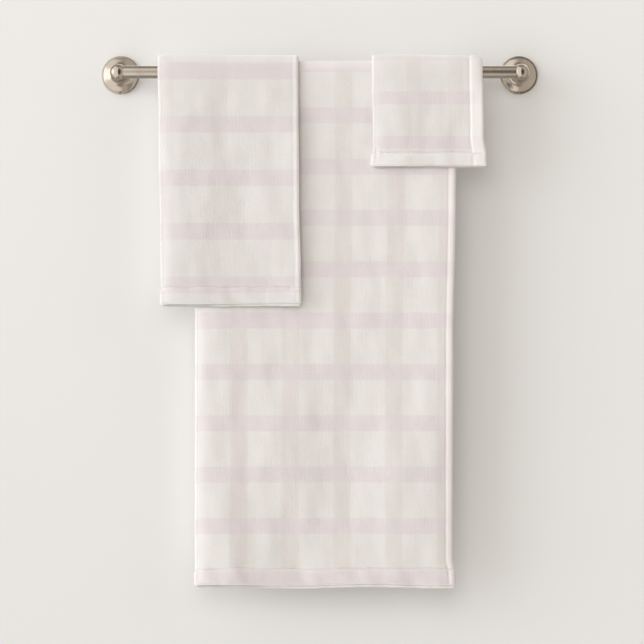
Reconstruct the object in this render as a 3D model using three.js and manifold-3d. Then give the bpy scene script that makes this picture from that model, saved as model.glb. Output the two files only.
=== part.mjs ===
// A bath towel set: a bath towel, a hand towel and a washcloth, each folded in half lengthwise
// and hung over one wall-mounted towel bar.
//
// Frame: millimetres, +Z up. The wall is the plane y = 0 and the bar stands in front of it, at
// negative y. The origin is on the wall, midway between the two posts, level with the bar's axis.

import * as THREE from 'three';
import { mergeVertices } from 'three/addons/utils/BufferGeometryUtils.js';
import Module from 'manifold-3d';

const wasm = await Module();
wasm.setup();

// ---- Driving dimensions ----------------------------------------------------------------------

const POST_SPACING = 610;        // a 24 inch bar, measured between the flange centres
const BAR_STANDOFF = 65;         // wall to bar axis
const GAP = 0.3;                 // clearance between pieces that touch
const OVERCUT = 1;               // how far a cutter reaches past the face it opens

const TUBE = { radius: 9.5, wall: 1.2, seat: 3.7 };   // seat: end of the tube to the post's axis
const HEAD = { radius: 12.2 };
const FLANGE = { radius: 29.3, ring: 3.4, step: 1.2, rim: 6.8, chamfer: 0.4 };
const NECK = { radius: 9, start: 40, flare: 20, flareRise: 12.5 };
const CAVITY = { mouth: 26.5, mouthDepth: 4, taper: 1, radius: 23.4, depth: 7.6 };
const BRACKET = { width: 24, height: 44, sheet: 2, lip: 7, lipWidth: 12 };
const WALL_SCREW = { offset: 13, hole: 2.4, shank: 2, reach: 26, tip: 5 };
const PAN_HEAD = { radius: 4, flank: 1, shoulder: 3, crown: 0.3, height: 2.4 };
const CROSS = { reach: 2.2, halfWidth: 0.5, depth: 1.3 };
const SET_SCREW = { hole: 2.5, radius: 2.2, height: 5.2, recess: 1.2, recessDepth: 2.2, sunk: 3 };

const LAYER = 4;                 // one thickness of towelling
const FOLDED = 2 * LAYER;        // each towel is folded double
const HEM_SWELL = 1.4;           // a turned and stitched hem stands this much proud

// Each towel hangs from left to right, over the bar, with its two ends at these heights.
const BATH = {
  name: 'bath_towel', left: -185.5, right: 201, frontEnd: -778, backEnd: -713, hem: 24,
  inside: TUBE.radius + GAP,
};
const HAND = {
  name: 'hand_towel', left: -239.5, right: -29.5, frontEnd: -354, backEnd: -346, hem: 25.6,
  inside: BATH.inside + FOLDED + GAP,
};
const WASH = {
  name: 'washcloth', left: 82, right: 246, frontEnd: -143, backEnd: -137, hem: 19.6,
  inside: BATH.inside + FOLDED + GAP, sideHem: 21,
};

const ROUND_SEGMENTS = 36;
const PROFILE_STEPS = 6;
const SMALL_SEGMENTS = 20;
const FOLD_SEGMENTS = 14;

// ---- Finishes --------------------------------------------------------------------------------

const nickel = () => new THREE.MeshStandardMaterial({ color: 0xb0a596, roughness: 0.32, metalness: 1 });
const zinc = () => new THREE.MeshStandardMaterial({ color: 0xb9bcc0, roughness: 0.45, metalness: 1 });
const steel = () => new THREE.MeshStandardMaterial({ color: 0x8d8d8c, roughness: 0.4, metalness: 1 });
const cloth = () => new THREE.MeshStandardMaterial({ color: 0xe7e2da, roughness: 0.95, metalness: 0 });
const hemming = () => new THREE.MeshStandardMaterial({ color: 0xdfd5d6, roughness: 0.95, metalness: 0 });

// ---- Geometry helpers ------------------------------------------------------------------------

// Signed volume of a closed triangle mesh: negative when its faces point inwards.
function signedVolume(positions, indices) {
  const a = new THREE.Vector3();
  const b = new THREE.Vector3();
  const c = new THREE.Vector3();
  let volume = 0;
  for (let i = 0; i < indices.length; i += 3) {
    a.fromArray(positions, 3 * indices[i]);
    b.fromArray(positions, 3 * indices[i + 1]);
    c.fromArray(positions, 3 * indices[i + 2]);
    volume += a.dot(b.cross(c)) / 6;
  }
  return volume;
}

// A three.js geometry as a solid for cutting and joining, with its faces turned outwards.
function solid(geometry) {
  const bare = geometry.clone();
  bare.deleteAttribute('normal');
  bare.deleteAttribute('uv');
  const merged = mergeVertices(bare, 1e-4);
  const vertProperties = new Float32Array(merged.attributes.position.array);
  const triVerts = new Uint32Array(merged.index.array);
  if (signedVolume(vertProperties, triVerts) < 0) triVerts.reverse();
  return new wasm.Manifold(new wasm.Mesh({ numProp: 3, vertProperties, triVerts }));
}

// A solid back as a plain geometry.
function surface(manifold) {
  const mesh = manifold.getMesh();
  const geometry = new THREE.BufferGeometry();
  geometry.setAttribute('position', new THREE.BufferAttribute(new Float32Array(mesh.vertProperties), 3));
  geometry.setIndex(new THREE.BufferAttribute(new Uint32Array(mesh.triVerts), 1));
  geometry.computeVertexNormals();
  return geometry;
}

function named(name, manifold, material) {
  const mesh = new THREE.Mesh(surface(manifold), material);
  mesh.name = name;
  return mesh;
}

// Turns a profile of (radius, distance from the wall) about the Y axis. It stands out from the wall.
function turned(profile, segments = ROUND_SEGMENTS) {
  const points = profile.map(([radius, height]) => new THREE.Vector2(radius, -height));
  return solid(new THREE.LatheGeometry(points, segments));
}

// A cylinder along X, from one x to another, about the bar's axis.
function rodAlongX(radius, from, to, segments = ROUND_SEGMENTS) {
  const geometry = new THREE.CylinderGeometry(radius, radius, Math.abs(to - from), segments);
  geometry.rotateZ(Math.PI / 2);
  geometry.translate((from + to) / 2, -BAR_STANDOFF, 0);
  return solid(geometry);
}

// A cylinder along Z, between two heights, at a distance from the wall.
function rodAlongZ(radius, standoff, bottom, top, segments) {
  const geometry = new THREE.CylinderGeometry(radius, radius, top - bottom, segments);
  geometry.rotateX(Math.PI / 2);
  geometry.translate(0, -standoff, (top + bottom) / 2);
  return solid(geometry);
}

function box(low, high) {
  const geometry = new THREE.BoxGeometry(high[0] - low[0], high[1] - low[1], high[2] - low[2]);
  geometry.translate((low[0] + high[0]) / 2, (low[1] + high[1]) / 2, (low[2] + high[2]) / 2);
  return solid(geometry);
}

// Extrudes an outline drawn in (y, z) along X, from left to right.
function extrudedAlongX(outline, left, right) {
  const geometry = new THREE.ExtrudeGeometry(outline, {
    depth: right - left, bevelEnabled: false, curveSegments: FOLD_SEGMENTS,
  });
  const toRowAxes = new THREE.Matrix4().makeBasis(
    new THREE.Vector3(0, 1, 0), new THREE.Vector3(0, 0, 1), new THREE.Vector3(1, 0, 0),
  );
  geometry.applyMatrix4(toRowAxes);
  geometry.translate(left, 0, 0);
  return solid(geometry);
}

// ---- Towel bar -------------------------------------------------------------------------------

// A straight tube, open at both ends, whose ends sit in the posts' sockets.
function barTube() {
  const end = POST_SPACING / 2 - TUBE.seat;
  const outside = rodAlongX(TUBE.radius, -end, end);
  const bore = rodAlongX(TUBE.radius - TUBE.wall, -end - OVERCUT, end + OVERCUT);
  return outside.subtract(bore);
}

// Outline of a post from the wall outwards: a rim of two stepped rings, a domed face that flares
// into a slim neck, and a ball head on the bar's axis.
function postProfile() {
  const path = new THREE.Path();
  path.moveTo(FLANGE.radius, 0);
  path.lineTo(FLANGE.radius, FLANGE.ring - FLANGE.chamfer);
  path.lineTo(FLANGE.radius - FLANGE.chamfer, FLANGE.ring);
  path.lineTo(FLANGE.radius - FLANGE.step, FLANGE.ring);
  path.lineTo(FLANGE.radius - FLANGE.step, FLANGE.rim - FLANGE.chamfer);
  path.lineTo(FLANGE.radius - 2 * FLANGE.step, FLANGE.rim);
  path.bezierCurveTo(
    NECK.flare, NECK.flareRise, NECK.radius, NECK.flareRise, NECK.radius, NECK.start,
  );
  const shoulder = Math.acos(NECK.radius / HEAD.radius);
  path.absarc(0, BAR_STANDOFF, HEAD.radius, -shoulder, Math.PI / 2, false);
  return path.getPoints(PROFILE_STEPS).map((point) => [Math.max(point.x, 0), point.y]);
}

// One post, made for the left end: the ball is bored for the tube on its +X side.
function leftPost() {
  const outer = [[0, 0], ...postProfile()];
  const socket = rodAlongX(TUBE.radius + GAP, TUBE.seat - GAP, HEAD.radius + OVERCUT);
  const cavity = turned([
    [0, -OVERCUT], [CAVITY.mouth, -OVERCUT], [CAVITY.mouth, CAVITY.mouthDepth],
    [CAVITY.radius, CAVITY.mouthDepth + CAVITY.taper], [CAVITY.radius, CAVITY.depth], [0, CAVITY.depth],
  ]);
  const screwHole = rodAlongZ(
    SET_SCREW.hole, SET_SCREW.height, -FLANGE.radius - OVERCUT, -CAVITY.radius + OVERCUT, SMALL_SEGMENTS,
  );
  return turned(outer).subtract(socket).subtract(cavity).subtract(screwHole);
}

// The plate that is screwed to the wall inside each flange. Its two turned lips hold the post.
function wallBracket() {
  const halfWidth = BRACKET.width / 2;
  const halfHeight = BRACKET.height / 2;
  const plate = box([-halfWidth, -BRACKET.sheet, -halfHeight], [halfWidth, 0, halfHeight]);
  const lip = (low, high) => box(
    [-BRACKET.lipWidth / 2, -BRACKET.lip, low],
    [BRACKET.lipWidth / 2, -BRACKET.sheet / 2, high],
  );
  const upperLip = lip(halfHeight - BRACKET.sheet, halfHeight);
  const lowerLip = lip(-halfHeight, -halfHeight + BRACKET.sheet);
  let bracket = plate.add(upperLip).add(lowerLip);
  const through = BRACKET.sheet + OVERCUT;
  for (const side of [-1, 1]) {
    const hole = turned([
      [0, -OVERCUT], [WALL_SCREW.hole, -OVERCUT], [WALL_SCREW.hole, through], [0, through],
    ], SMALL_SEGMENTS);
    bracket = bracket.subtract(hole.translate([0, 0, side * WALL_SCREW.offset]));
  }
  return bracket;
}

// A pan-head screw with a cross recess. Its shank runs through the bracket into the wall.
function wallScrew() {
  const seat = BRACKET.sheet + GAP;
  const crown = seat + PAN_HEAD.height;
  const body = turned([
    [0, -WALL_SCREW.reach], [WALL_SCREW.shank, WALL_SCREW.tip - WALL_SCREW.reach],
    [WALL_SCREW.shank, seat], [PAN_HEAD.radius, seat], [PAN_HEAD.radius, seat + PAN_HEAD.flank],
    [PAN_HEAD.shoulder, crown - PAN_HEAD.crown], [0, crown],
  ], SMALL_SEGMENTS);
  const slot = (wide, tall) => box(
    [-wide, -crown - OVERCUT, -tall],
    [wide, -crown + CROSS.depth, tall],
  );
  return body
    .subtract(slot(CROSS.reach, CROSS.halfWidth))
    .subtract(slot(CROSS.halfWidth, CROSS.reach));
}

// A headless screw that bears on the bracket's lower lip and locks the post to it.
function setScrew() {
  const tip = -BRACKET.height / 2 - GAP;
  const end = -FLANGE.radius + SET_SCREW.sunk;
  const body = rodAlongZ(SET_SCREW.radius, SET_SCREW.height, end, tip, SMALL_SEGMENTS);
  const hexagon = rodAlongZ(
    SET_SCREW.recess, SET_SCREW.height, end - OVERCUT, end + SET_SCREW.recessDepth, 6,
  );
  return body.subtract(hexagon);
}

function towelBar() {
  const group = new THREE.Group();
  group.add(named('bar_tube', barTube(), nickel()));
  const half = POST_SPACING / 2;
  for (const [side, sign] of [['left', -1], ['right', 1]]) {
    const end = new THREE.Group();
    end.position.x = sign * half;
    const post = sign < 0 ? leftPost() : leftPost().mirror([1, 0, 0]);
    end.add(named(`${side}_post`, post, nickel()));
    end.add(named(`${side}_wall_bracket`, wallBracket(), zinc()));
    end.add(named(`${side}_set_screw`, setScrew(), steel()));
    for (const [place, height] of [['upper', WALL_SCREW.offset], ['lower', -WALL_SCREW.offset]]) {
      const screw = named(`${side}_${place}_wall_screw`, wallScrew(), zinc());
      screw.position.z = height;
      end.add(screw);
    }
    group.add(end);
  }
  return group;
}

// ---- Towels ----------------------------------------------------------------------------------

// Outline of a strip of cloth over the bar: down the front, round the bar and down the back.
function overBar(inside, thickness, frontEnd, backEnd) {
  const outside = inside + thickness;
  const outline = new THREE.Shape();
  outline.moveTo(-BAR_STANDOFF - outside, frontEnd);
  outline.lineTo(-BAR_STANDOFF - outside, 0);
  outline.absarc(-BAR_STANDOFF, 0, outside, Math.PI, 0, true);
  outline.lineTo(-BAR_STANDOFF + outside, backEnd);
  outline.lineTo(-BAR_STANDOFF + inside, backEnd);
  outline.lineTo(-BAR_STANDOFF + inside, 0);
  outline.absarc(-BAR_STANDOFF, 0, inside, 0, Math.PI, false);
  outline.lineTo(-BAR_STANDOFF - inside, frontEnd);
  return outline;
}

// A hem's section: the rounded, slightly thicker band along one end. side is -1 in front.
function hemOutline(towel, side, end) {
  const near = side * towel.inside - BAR_STANDOFF;
  const far = side * (towel.inside + FOLDED + HEM_SWELL) - BAR_STANDOFF;
  const low = Math.min(near, far);
  const high = Math.max(near, far);
  const round = (high - low) / 4;
  const top = end + towel.hem;
  const outline = new THREE.Shape();
  outline.moveTo(low + round, end);
  outline.lineTo(high - round, end);
  outline.quadraticCurveTo(high, end, high, end + round);
  outline.lineTo(high, top);
  outline.lineTo(low, top);
  outline.lineTo(low, end + round);
  outline.quadraticCurveTo(low, end, low + round, end);
  return outline;
}

// One folded towel: its cloth, its front and back hems and, on the washcloth, its side hem.
function foldedTowel(towel) {
  const group = new THREE.Group();
  const sideHem = towel.sideHem ?? 0;
  const clothRight = sideHem ? towel.right - sideHem - GAP : towel.right;
  const frontStop = towel.frontEnd + towel.hem + GAP;
  const backStop = towel.backEnd + towel.hem + GAP;
  const body = overBar(towel.inside, FOLDED, frontStop, backStop);
  group.add(named(`${towel.name}_cloth`, extrudedAlongX(body, towel.left, clothRight), cloth()));
  for (const [place, side, end] of [['front', -1, towel.frontEnd], ['back', 1, towel.backEnd]]) {
    const hem = extrudedAlongX(hemOutline(towel, side, end), towel.left, towel.right);
    group.add(named(`${towel.name}_${place}_hem`, hem, hemming()));
  }
  if (sideHem) {
    const strip = overBar(towel.inside, FOLDED + HEM_SWELL, frontStop, backStop);
    const hem = extrudedAlongX(strip, towel.right - sideHem, towel.right);
    group.add(named(`${towel.name}_side_hem`, hem, hemming()));
  }
  return group;
}

// ---- Whole set -------------------------------------------------------------------------------

const towelSet = new THREE.Group();
towelSet.add(towelBar());
for (const towel of [BATH, HAND, WASH]) towelSet.add(foldedTowel(towel));

export default towelSet;
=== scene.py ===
"""A bath towel, a hand towel and a washcloth, folded and hung over a wall-mounted towel bar.

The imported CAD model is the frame. Each towel is one sheet of cloth made from its flat cut: it is
folded lengthwise, laid over the bar and thickened, and it stands for that towel's CAD solids. The
fittings of the bar are finer meshes on the same axes as their CAD solids.
"""

import math
import random

import bmesh
import bpy
import numpy as np
from mathutils import Matrix, Vector


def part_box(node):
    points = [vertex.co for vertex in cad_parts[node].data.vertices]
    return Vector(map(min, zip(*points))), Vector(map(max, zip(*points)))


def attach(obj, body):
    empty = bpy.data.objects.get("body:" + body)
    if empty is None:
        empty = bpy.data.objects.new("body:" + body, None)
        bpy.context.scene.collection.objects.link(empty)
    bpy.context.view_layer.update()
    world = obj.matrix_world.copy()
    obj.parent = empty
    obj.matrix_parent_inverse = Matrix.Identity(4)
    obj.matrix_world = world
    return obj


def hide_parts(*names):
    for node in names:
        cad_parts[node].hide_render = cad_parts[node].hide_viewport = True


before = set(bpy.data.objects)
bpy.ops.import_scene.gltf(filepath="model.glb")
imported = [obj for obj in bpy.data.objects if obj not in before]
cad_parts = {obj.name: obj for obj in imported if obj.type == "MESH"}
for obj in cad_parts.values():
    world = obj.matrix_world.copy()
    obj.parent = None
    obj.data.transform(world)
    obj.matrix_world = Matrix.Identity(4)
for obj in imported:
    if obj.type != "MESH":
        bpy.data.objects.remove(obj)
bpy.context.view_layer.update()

MM = 0.001

# ---- Places taken from the frame ----

TUBE_LOW, TUBE_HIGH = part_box("bar_tube")
AXIS_Y = (TUBE_LOW.y + TUBE_HIGH.y) / 2
TUBE_RADIUS = (TUBE_HIGH.z - TUBE_LOW.z) / 2
SIDES = {"left": -1, "right": 1}


def centre_of(node):
    low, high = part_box(node)
    return (low + high) / 2


# ---- The cloth ----

CLOTH = 3.6 * MM            # one thickness of towelling, pile included
LAYER_GAP = 0.2 * MM        # between the two layers of a folded towel
FOLD_RADIUS = 2.3 * MM      # of the middle of the cloth at the lengthwise fold
FOLD_RISE = 28 * MM         # how far in from the fold the front layer goes on rising
FOLD_PUFF = 3.6 * MM        # how far it rises there, where the towel hangs free
PUFF_ON_BAR = 0.3           # the share of that rise that is left on the bar
FOLD_SETTLES = 90 * MM      # and how far it takes to lie down again
HEM_FULL = 1.3 * MM         # how much a turned hem stands out
HEM_WANDERS = 0.035         # the share of its depth that the stitching strays by
EDGE_ROUND = 3.4 * MM       # how far in from an edge the printed face rounds off
END_SEAM = {"half_width": 1.9 * MM, "drawn_in": 0.35}
SIDE_SEAM_HALF = 1.8 * MM
END_HEM_STEP = 2.5 * MM     # how far the step from single cloth up to a hem takes
SIDE_HEM_STEP = 3 * MM
STITCH_PITCH = 3.1 * MM
STITCH_LENGTH = 2.3 * MM
THREAD_RADIUS = 0.3 * MM
THREAD_FACETS = 6

# Smooth ripples: each has its own seed, added to its towel's.
HEM_WANDER = {"seed": 1, "wavelength": 70 * MM, "count": 4}
BROAD = {"seed": 2, "wavelength": 150 * MM, "count": 5, "stretch": 3.5}
CREASES = {"seed": 7, "wavelength": 44 * MM, "count": 8, "stretch": 2.6, "height": 0.6 * MM}
UNEVEN = {"seed": 3, "wavelength": 26 * MM, "count": 9, "stretch": 1.5, "height": 0.2 * MM}
PUCKER = {"seed": 5, "wavelength": 11 * MM, "count": 5, "height": 0.42 * MM, "reach": 7 * MM}
LOOSE = {"seed": 8, "wavelength": 34 * MM, "count": 5, "stretch": 0.8, "height": 0.45 * MM}
END_LIFT = {"seed": 6, "wavelength": 120 * MM, "count": 4, "height": 0.9 * MM, "reach": 60 * MM}
BACK_SEED = 50              # added for the back drop, so that it differs from the front

# How far below the bar's axis the cloth hangs before each of these is full.
FULL_PUFF = 110 * MM
FULL_CLEAR = 60 * MM
FULL_LIFT = 120 * MM
FULL_SWING = 40 * MM
FULL_SWAY = 260 * MM        # below the height where a towel's sway starts

SPREAD = CLOTH / 2 + LAYER_GAP / 2      # from the middle of a folded towel to the middle of a layer
QUARTER = FOLD_RADIUS * math.pi / 2     # the cloth in a quarter turn of the lengthwise fold
PEEK_TURN = 12 * MM         # how far from the fold the ends of the two layers have parted
LAYER_TURN = 6 * MM         # and their turns round the bar

# Where the two small towels sink towards the bar, outside the bath towel that lies under them: how
# deep, from which distance off the middle and over what distance.
HAND_DROOP = (0.8 * MM, 190 * MM, 50 * MM)
WASH_DROOP = (1.5 * MM, 207 * MM, 30 * MM)
WASH_CORNER = (5 * MM, 230 * MM, 20 * MM)
DROOP_FADES = 45 * MM       # below the bar's axis

# x and heights are from the middle of the bar's axis, so a height below it is negative. An edge is
# a list of (height, x) stops in millimetres.
TOWELS = [
    {
        "name": "bath_towel", "edge_lift": 2.5 * MM, "clear": 0,
        "seed": 4, "tone": 1.025,
        "flat": (762 * MM, 1524 * MM), "rests_on": ["bar_tube_brushed"],
        "inside": TUBE_RADIUS + 0.3 * MM, "front_drop": 775.5 * MM, "peek": 3.6 * MM,
        "hem": 24 * MM, "side_hem": 9.5 * MM, "side_full": 0.45, "groove": 0.2,
        "edge_white": 0.32, "hem_white": 0.0,
        "left": [(0, -185.5), (-400, -186), (-760, -186.5)],
        "outer_right": [(0, 205), (-180, 205), (-420, 201), (-735, 200.5), (-760, 204.5)],
        "inner_right": [(0, 203), (-180, 203), (-420, 199), (-735, 198.5), (-760, 202)],
        "sway": 3.0 * MM, "sway_from": -340 * MM,
        "rows": {"period": 77.4 * MM, "centre": 12.4 * MM, "width": 24 * MM},
        "columns": {"period": 76.8 * MM, "centre": 10.8 * MM, "width": 25 * MM, "strength": 1.0},
        "solids": ["cloth", "front_hem", "back_hem"],
    },
    {
        "name": "hand_towel", "edge_lift": 6 * MM, "clear": 2.4 * MM,
        "seed": 11, "tone": 0.98,
        "flat": (406 * MM, 762 * MM), "rests_on": ["bar_tube_brushed", "bath_towel"],
        "inside": TUBE_RADIUS + 9.0 * MM, "front_drop": 351.5 * MM, "peek": 3.2 * MM,
        "hem": 24.5 * MM, "side_hem": 7.5 * MM, "side_full": 0.25, "groove": 0.08,
        "edge_white": 0.32, "hem_white": 0.0,
        "left": [(0, -242.5), (-60, -240.5), (-354, -237.5)],
        "outer_right": [(0, -32), (-200, -31), (-300, -28.5), (-354, -27.5)],
        "inner_right": [(0, -33.5), (-200, -33), (-300, -30.5), (-354, -30)],
        "sway": 0.6 * MM, "sway_from": -120 * MM,
        "rows": {"period": 80.5 * MM, "centre": 29.2 * MM, "width": 25 * MM},
        "columns": {"period": 79.5 * MM, "centre": 36 * MM, "width": 25 * MM, "strength": 0.4},
        "solids": ["cloth", "front_hem", "back_hem"],
    },
    {
        "name": "washcloth", "edge_lift": 2 * MM, "clear": 1.8 * MM,
        "seed": 23, "tone": 1.0,
        "flat": (330 * MM, 330 * MM), "rests_on": ["bar_tube_brushed", "bath_towel"],
        "inside": TUBE_RADIUS + 8.6 * MM, "front_drop": 143.5 * MM, "peek": 1.5 * MM,
        "hem": 19.6 * MM, "side_hem": 19.5 * MM, "side_full": 0.6, "groove": 0.2,
        "edge_white": 0.6, "hem_white": 0.2,
        "left": [(0, 81), (-118, 82), (-143, 79.5)],
        "outer_right": [(0, 246), (-100, 247), (-125, 250.5), (-143, 251.5)],
        "inner_right": [(0, 244.5), (-100, 245.5), (-143, 249)],
        "sway": 0.5 * MM, "sway_from": -60 * MM,
        "rows": {"period": 67 * MM, "centre": 35.5 * MM, "width": 19.5 * MM},
        "columns": {"period": 62.6 * MM, "centre": 41.4 * MM, "width": 22 * MM, "strength": 0.7},
        "solids": ["cloth", "front_hem", "back_hem", "side_hem"],
    },
]


def ease(t):
    """Smooth step from 0 to 1."""
    t = np.clip(t, 0.0, 1.0)
    return t * t * (3 - 2 * t)


def through(edge, height):
    """x at a height, along a smooth line through a towel edge's (height, x) stops."""
    x = np.full_like(height, edge[0][1] * MM)
    for (upper, x_upper), (lower, x_lower) in zip(edge, edge[1:]):
        share = ease((upper * MM - height) / ((upper - lower) * MM))
        x = x + (x_lower - x_upper) * MM * share
    return x


def waves(kind, seed, a, b):
    """A smooth, unrepeating ripple of about unit height over two distances in metres."""
    dice = random.Random(seed + kind["seed"])
    shortest, longest = 0.7, 1.5
    stretch = kind.get("stretch", 1.0)
    total = np.zeros_like(a)
    for _ in range(kind["count"]):
        heading = dice.uniform(0, math.pi)
        length = kind["wavelength"] * dice.uniform(shortest, longest)
        phase = dice.uniform(0, 2 * math.pi)
        along = a * math.cos(heading) + b * math.sin(heading) / stretch
        total = total + np.sin(along * 2 * math.pi / length + phase)
    return total / math.sqrt(kind["count"])


def hem_depth(towel, x):
    """The hem's depth where it was stitched, which wanders a little."""
    return towel["hem"] * (1 + HEM_WANDERS * waves(HEM_WANDER, towel["seed"], x, x * 0))


def from_end(towel, v):
    """Distance to the nearer hemmed end of the cloth, along its length."""
    return np.minimum(v, towel["flat"][1] - v)


def from_side(towel, u):
    """Distance to the nearer long edge of the cloth, across its width."""
    return np.minimum(u, towel["flat"][0] - u)


def ridge(distance, half_width):
    """1 at a line, falling to 0 within a few half widths of it."""
    return np.exp(-((distance / half_width) ** 2))


def in_hem(towel, u, v, x):
    """0 to 1: how much a point belongs to a turned hem."""
    end_hem = ease((hem_depth(towel, x) - from_end(towel, v)) / END_HEM_STEP + 0.5)
    side_hem = ease((towel["side_hem"] - from_side(towel, u)) / SIDE_HEM_STEP + 0.5)
    return np.maximum(end_hem, side_hem * towel["side_full"])


def face_height(towel, u, v, x):
    """How far the printed face stands from the middle of the cloth.

    It is full in the hems, drawn in along the stitching and rounded off at the edges.
    """
    thinned, tucked = 0.45, 0.15
    end, side = from_end(towel, v), from_side(towel, u)
    drawn = np.maximum(
        ridge(end - hem_depth(towel, x), END_SEAM["half_width"]) * END_SEAM["drawn_in"],
        ridge(side - towel["side_hem"], SIDE_SEAM_HALF) * towel["groove"],
    )
    hem_round = 1 - thinned * (1 - np.clip(side / towel["side_hem"], 0, 1)) ** 2
    full = CLOTH / 2 + HEM_FULL * in_hem(towel, u, v, x) * hem_round
    rounded = np.sqrt(ease(np.minimum(end, side) / EDGE_ROUND))
    return (full - drawn * CLOTH) * rounded - tucked * CLOTH * (1 - rounded)


def fold_line(towel):
    """Where the lengthwise fold lies across the flat width."""
    outer = towel["outer_right"][-1][1] - towel["left"][-1][1]
    inner = towel["inner_right"][-1][1] - towel["left"][-1][1]
    return towel["flat"][0] * outer / (outer + inner)


def sunk(facts, off_middle, power=1):
    depth, start, over = facts
    return depth * ease((off_middle - start) / over) ** power


def droop(towel, x, height):
    """How far a towel sinks towards the bar where no bath towel lies under it."""
    if towel["name"] == "hand_towel":
        return sunk(HAND_DROOP, -x)
    if towel["name"] == "washcloth":
        return ease(1 + height / DROOP_FADES) * (sunk(WASH_DROOP, x) + sunk(WASH_CORNER, x, 2))
    return x * 0


def stand_off(towel, across_share, height):
    """How far the drops hang clear of the towel behind, and their open long edges lift from it."""
    lift_starts = 0.55
    clear = towel["clear"] * ease(-height / FULL_CLEAR)
    lifted = ease(-height / FULL_LIFT)
    share = np.clip((across_share - lift_starts) / (1 - lift_starts), 0, 1)
    return clear + towel["edge_lift"] * lifted * share ** 2


def settle(towel, x, height, front):
    """How far the hanging cloth stands out from a plane: broad waves, soft creases, unevenness."""
    seed = towel["seed"] + (0 if front else BACK_SEED)
    free = ease((towel["sway_from"] - height) / FULL_SWAY)
    broad = towel["sway"] * free * waves(BROAD, seed, x, height)
    creases = CREASES["height"] * waves(CREASES, seed, x, height)
    uneven = UNEVEN["height"] * waves(UNEVEN, seed, x, height)
    return broad + creases + uneven


def middle_reach(towel):
    """From the bar's axis to the middle of the folded towel that lies on it."""
    return towel["inside"] + CLOTH + LAYER_GAP / 2


def along_towel(towel, v, outer, run):
    """Down the front, round the bar and down the back.

    Returns the height, taken on the bar's axis, the angle round the bar and whether it is in front.
    """
    sign = np.where(outer, 1.0, -1.0)
    turned = ease(run / PEEK_TURN) * sign
    drop = towel["front_drop"] + towel["peek"] * (1 - turned) / 2
    radius = middle_reach(towel) + SPREAD * sign * ease(run / LAYER_TURN)
    over = math.pi * radius
    angle = np.clip((v - drop) / radius, 0, math.pi)
    height = np.where(v < drop, v - drop, np.where(v > drop + over, -(v - drop - over), 0.0))
    return height, angle, v < drop + over / 2


def across_towel(towel, outer, run, height):
    """From the fold on the left, in a soft turn, out to the layer's own right edge.

    Returns x and the share of the layer's width.
    """
    fold = fold_line(towel)
    turning = np.clip(run / FOLD_RADIUS, 0, math.pi / 2)
    across = FOLD_RADIUS * (1 - np.cos(turning)) + np.maximum(run - QUARTER, 0)
    left = through(towel["left"], height)
    right = np.where(outer, through(towel["outer_right"], height), through(towel["inner_right"], height))
    natural = FOLD_RADIUS + np.where(outer, fold, towel["flat"][0] - fold) - QUARTER
    return left + across * (right - left) / natural, across / natural


def layer_reach(towel, outer, run, height):
    """Out from the bar's axis: the inner layer lies flat and the outer one swells over the fold."""
    turning = np.clip(run / FOLD_RADIUS, 0, math.pi / 2)
    straight = np.maximum(run - QUARTER, 0)
    sign = np.where(outer, 1.0, -1.0)
    reach = middle_reach(towel) - SPREAD + FOLD_RADIUS * (1 + sign * np.sin(turning))
    hanging = ease(-height / FULL_PUFF)
    rise = np.clip(straight / FOLD_RISE, 0, 1)
    puff = FOLD_PUFF * (PUFF_ON_BAR + (1 - PUFF_ON_BAR) * hanging) * (1 - (1 - rise) ** 2)
    level = 2 * SPREAD - 2 * FOLD_RADIUS
    down = ease((straight - FOLD_RISE) / FOLD_SETTLES)
    return reach + np.where(outer, puff * (1 - down) + level * down, 0)


def hem_ripple(towel, x, v):
    """The puckers that the stitching draws, and the looser cloth of the hem below it."""
    end = from_end(towel, v)
    hem = hem_depth(towel, x)
    loose_from = 1.6
    pucker = PUCKER["height"] * waves(PUCKER, towel["seed"], x, v * 0)
    loose = LOOSE["height"] * waves(LOOSE, towel["seed"], x, end)
    return pucker * ridge(end - hem, PUCKER["reach"]) + loose * ease(loose_from - end / hem)


def end_lift(towel, x, v):
    """How far the hemmed ends hang unevenly."""
    lift = END_LIFT["height"] * waves(END_LIFT, towel["seed"], x, v * 0)
    return lift * ease(1 - from_end(towel, v) / END_LIFT["reach"])


def mid(towel, u, v):
    """The middle of the cloth at u across and v along its flat cut."""
    outer = u < fold_line(towel)
    run = np.abs(fold_line(towel) - u)
    height, angle, front = along_towel(towel, v, outer, run)
    x, share = across_towel(towel, outer, run, height)
    reach = layer_reach(towel, outer, run, height)
    reach = reach + HEM_FULL * in_hem(towel, u, v, x) - droop(towel, x, height)
    reach = reach + stand_off(towel, share, height)
    swing = np.where(front, settle(towel, x, height, True), settle(towel, x, height, False))
    reach = reach + swing * ease(-height / FULL_SWING) + hem_ripple(towel, x, v)
    y = AXIS_Y - reach * np.cos(angle)
    z = height + end_lift(towel, x, v) + reach * np.sin(angle)
    return np.stack([x, y, z], axis=-1)


def skin(towel, u, v, side):
    """A point on the cloth's printed face (side 1) or its white reverse (side -1)."""
    step = 0.4 * MM         # to either side, for the slope of the cloth
    width, length = towel["flat"]
    u_low, u_high = np.clip(u - step, 0, width), np.clip(u + step, 0, width)
    v_low, v_high = np.clip(v - step, 0, length), np.clip(v + step, 0, length)
    across = mid(towel, u_high, v) - mid(towel, u_low, v)
    along = mid(towel, u, v_high) - mid(towel, u, v_low)
    normal = np.cross(along, across)
    normal /= np.linalg.norm(normal, axis=-1, keepdims=True)
    centre = mid(towel, u, v)
    if side > 0:
        half = face_height(towel, u, v, centre[..., 0])
    else:
        half = CLOTH / 2 * np.ones_like(u)
    return centre + side * normal * half[..., None]


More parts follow.
